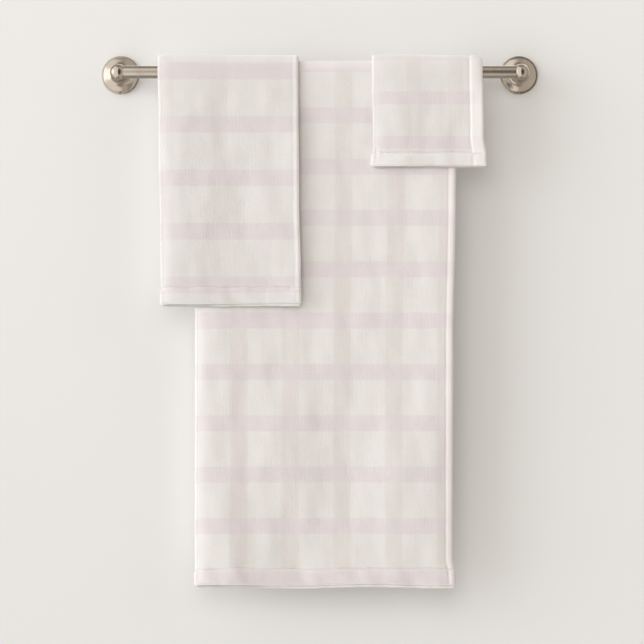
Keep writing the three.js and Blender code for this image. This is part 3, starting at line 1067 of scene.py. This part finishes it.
def make_set_screw(side):
    node = f"{side}_set_screw"
    low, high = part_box(node)
    centre = centre_of(node)
    radius, long = (high.x - low.x) / 2, high.z - low.z
    steps = 60
    profile = [(0, 0), (radius * 0.8, 0)]
    profile += [(radius, long * (0.05 + 0.9 * k / steps)) for k in range(steps + 1)]
    profile += [(radius * 0.6, long), (0, long)]
    groove = thread_groove(SET_SCREW["pitch"], SET_SCREW["cut"], long * 0.06, long * 0.94)
    mesh = turned_mesh(node, profile, 40, groove)
    mesh.transform(Matrix.Rotation(-math.pi / 2, 4, "X"))
    piece = link(f"{side}_set_screw_steel", mesh)
    place_at(piece, centre.x, centre.y, low.z)
    hexagon = cylinder(SET_SCREW["hexagon"], low.z - PAST, low.z + SET_SCREW["depth"], "Z", 6)
    place_at(hexagon, centre.x, centre.y)
    boolean(piece, hexagon, "DIFFERENCE")
    fit_out(piece, brushed("hardened_steel", STEEL), "wall_fittings", node, 40)


def make_fittings():
    make_tube()
    for side in SIDES:
        make_post(side)
        make_bracket(side)
        make_set_screw(side)
        for place in ("upper", "lower"):
            make_wall_screw(side, place)


# ---- Stage, light and camera ----


WALL_PAINT = {"colour": (0.785, 0.784, 0.776, 1), "grain": 3.0}
FLOOR_PAINT = {"colour": (0.62, 0.61, 0.59, 1), "grain": 2.0}
MOTTLE = 0.985              # the darkest of a paint's faint blotches
STAGE = {"wide": 4.0, "tall": 2.4, "floor": -1.3, "near": -7.0, "behind": 0.2 * MM}


def one_sided(name, paint):
    """A plain painted surface that is seen from its front only."""
    nodes = Nodes(name)
    geometry = nodes.add("ShaderNodeNewGeometry")
    blotches = nodes.noise(geometry.outputs["Position"], paint["grain"], 3.0)
    darker = tuple(c * MOTTLE for c in paint["colour"][:3]) + (1,)
    shade = nodes.mix(blotches, darker, paint["colour"])
    painted = nodes.made("ShaderNodeBsdfPrincipled", {"Base Color": shade, "Roughness": 0.8})
    clear = nodes.add("ShaderNodeBsdfTransparent").outputs[0]
    either = nodes.made("ShaderNodeMixShader", (geometry.outputs["Backfacing"], painted, clear))
    nodes.tree.links.new(either, nodes.output.inputs["Surface"])
    return nodes.material


def plane(name, corners, material):
    mesh = bpy.data.meshes.new(name)
    mesh.from_pydata(corners, [], [(0, 1, 2, 3)])
    piece = link(name, mesh)
    piece.data.materials.append(material)
    piece.visible_shadow = False
    piece.visible_glossy = False
    return piece


def make_stage():
    wide, tall, low = STAGE["wide"], STAGE["tall"], STAGE["floor"]
    near, behind = STAGE["near"], STAGE["behind"]
    wall = [(-wide, behind, low), (wide, behind, low), (wide, behind, tall), (-wide, behind, tall)]
    plane("wall", wall, one_sided("wall_paint", WALL_PAINT))
    floor = [(-wide, near, low), (wide, near, low), (wide, behind, low), (-wide, behind, low)]
    plane("floor", floor, one_sided("floor_paint", FLOOR_PAINT)).visible_diffuse = False


def area_light(name, place, target, size, power, colour):
    data = bpy.data.lights.new(name, "AREA")
    data.shape = "RECTANGLE"
    data.size, data.size_y = size
    data.energy = power
    data.color = colour
    lamp = bpy.data.objects.new(name, data)
    bpy.context.scene.collection.objects.link(lamp)
    lamp.location = place
    lamp.rotation_euler = (Vector(target) - Vector(place)).to_track_quat("-Z", "Y").to_euler()
    lamp.visible_camera = False
    return lamp


def towards(azimuth, elevation):
    """A unit direction, azimuth in degrees from the camera's side (-Y) towards the right (+X)."""
    a, e = math.radians(azimuth), math.radians(elevation)
    return Vector((math.cos(e) * math.sin(a), -math.cos(e) * math.cos(a), math.sin(e)))


def sun(name, azimuth, elevation, spread, power, colour):
    data = bpy.data.lights.new(name, "SUN")
    data.energy = power
    data.angle = math.radians(spread)
    data.color = colour
    lamp = bpy.data.objects.new(name, data)
    bpy.context.scene.collection.objects.link(lamp)
    lamp.rotation_euler = (-towards(azimuth, elevation)).to_track_quat("-Z", "Y").to_euler()
    return lamp


PATCH_EDGE = (0.55, 1.3)    # a patch fades out between these, as squared shares of its reach


def patch(nodes, direction, place, size):
    """1 inside an oval of the surroundings, seen from the towels, 0 outside it."""
    aim = towards(*place)
    sideways = Vector((-aim.y, aim.x, 0)).normalized()
    up = aim.cross(sideways)
    parts = []
    for axis, reach in ((sideways, size[0]), (up, size[1])):
        scaled = nodes.math("DIVIDE", nodes.dot(direction, axis), math.sin(math.radians(reach)))
        parts.append(nodes.math("MULTIPLY", scaled, scaled))
    ahead = nodes.math("GREATER_THAN", nodes.dot(direction, aim), 0.0)
    inside = nodes.smooth_between(nodes.math("ADD", *parts), *PATCH_EDGE, 1.0, 0.0)
    return nodes.math("MULTIPLY", inside, ahead)


ROOM_LEFT = (1.06, 1.03, 0.99, 1)
ROOM_RIGHT = (0.59, 0.54, 0.485, 1)
BEHIND = (0.34, 0.325, 0.30, 1)
DIM = (0.085, 0.072, 0.055, 1)
WINDOW = (1.8, 1.8, 1.78, 1)
BACKDROP = (0.80, 0.785, 0.765, 1)

# Where the room's tones change over, along x, y and height on the sphere of directions.
ROOM_TURN, PAST_WALL, STEEP = (-0.08, 0.09), (0.05, 0.5), (0.86, 0.98)
# A patch: (azimuth, elevation) and how far it reaches (sideways, up), in degrees.
DOORWAY = ((21, 3), (24, 46))
WINDOW_AT = ((-84, 6), (30, 26))


def make_world():
    """A pale room: a window on the left, a dim doorway in front and darker ceiling and floor."""
    world = bpy.data.worlds.new("studio")
    bpy.context.scene.world = world
    world.use_nodes = True
    nodes = Nodes(world=world)
    direction = nodes.add("ShaderNodeTexCoord").outputs["Generated"]
    split = nodes.add("ShaderNodeSeparateXYZ")
    nodes.feed(split.inputs[0], direction)
    x, y, z = split.outputs
    room = nodes.mix(nodes.smooth_between(x, *ROOM_TURN), ROOM_LEFT, ROOM_RIGHT)
    steep = nodes.smooth_between(nodes.math("ABSOLUTE", z), *STEEP)
    past_wall = nodes.smooth_between(y, *PAST_WALL)
    room = nodes.mix(nodes.math("MAXIMUM", steep, past_wall), room, BEHIND)
    room = nodes.mix(patch(nodes, direction, *DOORWAY), room, DIM)
    room = nodes.mix(patch(nodes, direction, *WINDOW_AT), room, WINDOW)
    seen = nodes.add("ShaderNodeLightPath").outputs["Is Camera Ray"]
    colour = nodes.mix(seen, room, BACKDROP)
    background = nodes.add("ShaderNodeBackground")
    nodes.feed(background.inputs["Color"], colour)
    output = nodes.add("ShaderNodeOutputWorld")
    nodes.tree.links.new(background.outputs[0], output.inputs["Surface"])


# The sun: name, azimuth, elevation, spread, power and colour. Then each lamp's name, place, target,
# size, power and colour.
KEY = ("key", -62, 8, 44, 0.72, (0.95, 1.0, 1.04))
FRONT_LAMPS = [
    ("near_window", (-1.2, -1.1, 0.1), (-0.3, 0, -0.2), (0.8, 0.8), 1.7, (0.98, 1.0, 1.02)),
    ("fill", (-0.2, -4.2, 0.7), (0, 0, -0.1), (2.4, 2.0), 43, (1.0, 0.96, 0.925)),
    ("right_fill", (2.4, -2.0, 0.5), (0.3, 0, -0.35), (1.8, 1.8), 6.5, (1.0, 0.93, 0.86)),
]
BACK_FILL = ("back_fill", (0.6, 3.0, 0.8), (0, 0, -0.3), (2.5, 2.0), 30, (1.0, 0.99, 0.97))


def make_light():
    make_world()
    lamps = [sun(*KEY)] + [area_light(*facts) for facts in FRONT_LAMPS]
    for lamp in lamps:
        lamp.visible_glossy = False
    area_light(*BACK_FILL)


CAMERA_AT = (0.0036, -5.0, -0.3783)
VIEW_WIDTH = 0.9878         # what the picture takes in at the wall


def make_camera():
    data = bpy.data.cameras.new("camera")
    data.sensor_width = 36
    data.lens = data.sensor_width * -CAMERA_AT[1] / VIEW_WIDTH
    data.clip_end = 50
    camera = bpy.data.objects.new("camera", data)
    camera.location = CAMERA_AT
    camera.rotation_euler = (math.pi / 2, 0, 0)
    bpy.context.scene.collection.objects.link(camera)
    bpy.context.scene.camera = camera


def set_tone():
    """Plain, neutral tones, so that the pale print stays pale."""
    view = bpy.context.scene.view_settings
    view.view_transform = "Standard"
    view.look = "None"
    view.exposure = -0.02


make_camera()
make_stage()
make_light()
set_tone()
make_fittings()
for item in TOWELS:
    make_towel(item)
